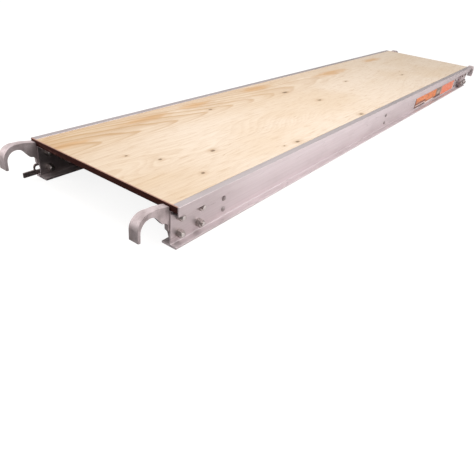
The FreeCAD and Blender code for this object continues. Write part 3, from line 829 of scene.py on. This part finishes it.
@dataclass
class BoltPoints:
    """Threaded points of the hook bolts, showing past their nuts."""

    radius: float = 5.04 * MM
    depth: float = 0.36 * MM
    pitch: float = 1.5 * MM
    cap: float = 0.12 * MM
    chamfer: float = 0.9 * MM
    around: int = 40
    rings: int = 26
    nut_reach: float = 8.0 * MM
    heights: tuple[float, float] = (24.0 * MM, 65.0 * MM)

    def points(self, length: float) -> np.ndarray:
        """One threaded point along +Z, from its base at 0 to its chamfered tip.

        The radius at angle a and height h is the root radius plus the thread depth times a
        triangle wave of h / pitch - a / full turn, cut off by the cone of the chamfer.

        Args:
            length: How far the bolt shows past its nut.

        Returns:
            A pole, the rings and a pole, as rows of x, y and z.
        """
        angle = np.linspace(0.0, 2.0 * np.pi, self.around, endpoint=False)
        height = np.linspace(0.0, length + self.cap, self.rings)
        phase = (height[:, None] / self.pitch - angle[None, :] / (2.0 * np.pi)) % 1.0
        radius = self.radius + self.depth * (1.0 - np.abs(2.0 * phase - 1.0))
        cone = self.radius + self.depth - self.chamfer + (length + self.cap - height)[:, None]
        radius = np.minimum(radius, np.maximum(cone, 0.0))
        grid = np.stack([radius * np.cos(angle), radius * np.sin(angle),
                         height[:, None] + 0.0 * radius], axis=-1)
        base = np.array([[0.0, 0.0, 0.0]])
        tip = np.array([[0.0, 0.0, length + self.cap]])
        return np.concatenate([base, grid.reshape(-1, 3), tip])

    def faces(self) -> list[tuple[int, ...]]:
        """Side quads and the two fans that close the ends, all turning outwards."""
        row, column = np.meshgrid(np.arange(self.rings - 1), np.arange(self.around), indexing="ij")
        after = (column + 1) % self.around
        quads = 1 + np.stack([row * self.around + column, row * self.around + after,
                              (row + 1) * self.around + after, (row + 1) * self.around + column], axis=-1)
        ring = np.arange(self.around)
        last = 1 + (self.rings - 1) * self.around
        top = 1 + self.rings * self.around
        base_fan = np.stack([0 * ring, 1 + (ring + 1) % self.around, 1 + ring], axis=-1)
        tip_fan = np.stack([last + ring, last + (ring + 1) % self.around, top + 0 * ring], axis=-1)
        fans = np.concatenate([base_fan, tip_fan]).tolist()
        return [tuple(face) for face in fans + quads.reshape(-1, 4).tolist()]

    def build(self, metal: bpy.types.Material) -> None:
        """Makes the four bolt points of every hook as one piece.

        Args:
            metal: The finish of the threads.
        """
        for node in nodes_named("hook_nuts_"):
            where = node.removeprefix("hook_nuts_")
            nut_low, nut_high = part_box(node)
            inward = 1.0 if "rear" in where else -1.0
            side = 1 if inward > 0 else 0
            tip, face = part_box(f"hook_bolts_{where}")[side].y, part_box(node)[side].y
            places = (nut_low.x + self.nut_reach, nut_high.x - self.nut_reach)
            centres = [(x, z) for x in places for z in self.heights]
            one = self.points(abs(tip - face))
            turn = np.array([[1.0, 0.0, 0.0], [0.0, 0.0, inward], [0.0, -inward, 0.0]])
            placed = one @ turn.T
            shifts = [np.array([x, face, z]) for x, z in centres]
            count = len(one)
            points = np.concatenate([placed + shift for shift in shifts])
            faces = [tuple(v + index * count for v in face)
                     for index in range(len(shifts)) for face in self.faces()]
            piece = mesh_piece(f"bolt_points_{where}", points, faces)
            piece.data.shade_smooth()
            dress(piece, metal)
            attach(piece, "plank")
            log.info("made %s", piece.name)


@dataclass
class Latches:
    """Sliding uplift latches, stamped and bent from steel bar."""

    edge_radius: float = 0.45 * MM

    def build(self) -> None:
        """Makes one softened latch per end, each on its own body."""
        steel = SMALL_METALS[Metal.DULL_STEEL].make("dull_plated_steel")
        for end in End:
            piece = rounded_copy(f"latch_{end.word}", f"sliding_latch_{end.word}", self.edge_radius)
            dress(piece, steel)
            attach(piece, f"{end.word}_latch")
            log.info("made %s", piece.name)


@dataclass
class Fasteners:
    """Bolts, nuts, washers and screws."""

    bolt_points: BoltPoints

    def build(self) -> None:
        """Dresses the CAD fasteners and makes the threaded bolt points."""
        zinc = SMALL_METALS[Metal.ZINC].make("zinc_plate")
        plated = nodes_named("hook_bolts_", "hook_nuts_", "hook_washers_", "latch_guide_bolts_",
                             "latch_slide_washers_", "deck_screws_")
        dress_nodes(plated, zinc)
        dress_nodes(nodes_named("spreader_screws_"), SMALL_METALS[Metal.SCREW].make("dark_oxide"))
        self.bolt_points.build(SMALL_METALS[Metal.RIVET].make("bright_thread"))


# ---- studio ---------------------------------------------------------------------------------


@dataclass(frozen=True)
class SoftBox:
    """One rectangular lamp that looks at a point."""

    name: str
    place: tuple[float, float, float]
    aim: tuple[float, float, float]
    size: tuple[float, float]
    power: float
    colour: tuple[float, float, float] = (1.0, 1.0, 1.0)

    def build(self) -> None:
        """Adds the lamp."""
        lamp = bpy.data.lights.new(self.name, "AREA")
        lamp.shape = "RECTANGLE"
        lamp.size, lamp.size_y = self.size
        lamp.energy = self.power
        lamp.color = self.colour
        holder = bpy.data.objects.new(self.name, lamp)
        holder.location = self.place
        holder.rotation_euler = (Vector(self.aim) - Vector(self.place)).to_track_quat("-Z", "Y").to_euler()
        bpy.context.scene.collection.objects.link(holder)


@dataclass(frozen=True)
class Studio:
    """Pale floor, soft lamps, sky and the camera at the plank's near corner."""

    floor_half: float = 14.0
    camera_place: tuple[float, float, float] = (-1.7598, -0.7812, 0.5385)
    camera_right: tuple[float, float, float] = (0.59814, -0.79599, 0.09294)
    camera_up: tuple[float, float, float] = (0.37502, 0.38050, 0.84533)
    camera_forward: tuple[float, float, float] = (0.70823, 0.47077, -0.52610)
    lens: float = 35.39
    sensor: float = 36.0
    zenith: float = 0.84
    horizon: float = 0.05
    backdrop: float = 0.97
    low_sky: float = 0.12
    high_sky: float = 0.48
    seen_paper: StudioPaper = StudioPaper("7d7b79", 0.87)
    bounce_paper: StudioPaper = StudioPaper("dedada", 0.0)
    # Finish of the unseen dark sheets that stand in for the shade under the plank.
    dark_paper: StudioPaper = StudioPaper("2c2a2a", 0.0)
    dark_side: float = 0.240
    dark_front: float = 1.20
    dark_reach: float = 0.9
    seen_depth: float = 0.6 * MM
    dark_depth: float = 1.1 * MM
    bounce_depth: float = 1.6 * MM
    sky_colour: Colour = (1.0, 0.985, 0.97, 1.0)
    boxes: tuple[SoftBox, ...] = (
        SoftBox("key_box", (-0.50, -0.55, 1.55), (-0.55, 0.0, 0.05), (1.3, 1.3), 16.0, (1.0, 0.98, 0.985)),
        SoftBox("side_box", (1.0, -3.0, 1.3), (0.3, 0.0, 0.05), (2.4, 1.2), 30.0, (1.0, 0.98, 0.985)),
        SoftBox("front_box", (-2.6, 1.7, 0.9), (-1.25, 0.0, 0.05), (0.9, 0.9), 22.0, (1.0, 0.98, 0.985)),
    )

    def build(self) -> None:
        """Adds everything that isn't the plank."""
        self.add_floor()
        self.add_sky()
        for lamp in self.boxes:
            lamp.build()
        self.add_camera()
        bpy.context.scene.view_settings.view_transform = "Standard"

    def sheet(self, name: str, low: tuple[float, float], high: tuple[float, float],
              depth: float, paper: StudioPaper) -> bpy.types.Object:
        """One flat sheet of paper that faces up.

        Args:
            name: The sheet's name.
            low: Its lower corner in X and Y.
            high: Its upper corner.
            depth: How far it lies under the rails' feet.
            paper: Its finish.

        Returns:
            The sheet.
        """
        corners = [(low[0], low[1]), (high[0], low[1]), (high[0], high[1]), (low[0], high[1])]
        made = mesh_piece(name, np.array([[x, y, -depth] for x, y in corners]), [(0, 1, 2, 3)])
        dress(made, paper.make(name + "_paper"))
        return made

    def add_floor(self) -> None:
        """The sheet that is seen, the one that throws light back, and dark ones under the plank and before
        its open front end, which stand in for the shade inside it.
        """
        half = self.floor_half
        front, side, reach = self.dark_front, self.dark_side, self.dark_reach
        seen = self.sheet("studio_floor", (-half, -half), (half, half), self.seen_depth,
                          self.seen_paper)
        seen.visible_diffuse = False
        seen.visible_glossy = False
        seen.visible_shadow = False
        unseen = [
            self.sheet("studio_bounce", (-half, -half), (half, half), self.bounce_depth,
                       self.bounce_paper),
            # Dark sheets unseen by the camera: the one under the plank stands in for the shade under the
            # deck, the one before the front end keeps bounce light out of the open end.
            self.sheet("studio_dark_under", (-front, -side), (front, side), self.dark_depth,
                       self.dark_paper),
            self.sheet("studio_dark_front", (-front - reach, -reach), (-front, reach),
                       self.dark_depth, self.dark_paper),
        ]
        for sheet in unseen:
            sheet.visible_camera = False

    def add_sky(self) -> None:
        """Soft light from all round, brighter overhead than near the horizon."""
        world = bpy.data.worlds.new("soft_sky")
        world.use_nodes = True
        bpy.context.scene.world = world
        tree = world.node_tree
        background = tree.nodes["Background"]
        place = tree.nodes.new("ShaderNodeTexCoord")
        split = tree.nodes.new("ShaderNodeSeparateXYZ")
        rise = tree.nodes.new("ShaderNodeMapRange")
        rise.interpolation_type = "SMOOTHSTEP"
        rise.inputs["From Min"].default_value = self.low_sky
        rise.inputs["From Max"].default_value = self.high_sky
        rise.inputs["To Min"].default_value = self.horizon
        rise.inputs["To Max"].default_value = self.zenith
        tree.links.new(place.outputs["Generated"], split.inputs[0])
        tree.links.new(split.outputs["Z"], rise.inputs["Value"])
        seen = tree.nodes.new("ShaderNodeLightPath")
        level = tree.nodes.new("ShaderNodeMix")
        level.inputs["B"].default_value = self.backdrop
        tree.links.new(seen.outputs["Is Camera Ray"], level.inputs["Factor"])
        tree.links.new(rise.outputs[0], level.inputs["A"])
        tree.links.new(level.outputs[0], background.inputs["Strength"])
        background.inputs["Color"].default_value = self.sky_colour

    def add_camera(self) -> None:
        """The camera, from its place and its three directions."""
        eye = bpy.data.cameras.new("studio_camera")
        eye.lens = self.lens
        eye.sensor_width = self.sensor
        holder = bpy.data.objects.new("studio_camera", eye)
        columns = (self.camera_right, self.camera_up, [-v for v in self.camera_forward], self.camera_place)
        holder.matrix_world = Matrix([[*row] for row in zip(*columns)]).to_4x4()
        bpy.context.scene.collection.objects.link(holder)
        bpy.context.scene.camera = holder


def main() -> None:
    """Builds and dresses the plank, then its studio."""
    logging.basicConfig(level=logging.INFO, format="%(message)s")
    for assembly in (Deck(), Rails(), EndTrim(), Hooks(), Latches(), Fasteners(BoltPoints())):
        assembly.build()
        log.info("finished %s", type(assembly).__name__)
    Studio().build()


if __name__ == "__main__":
    main()
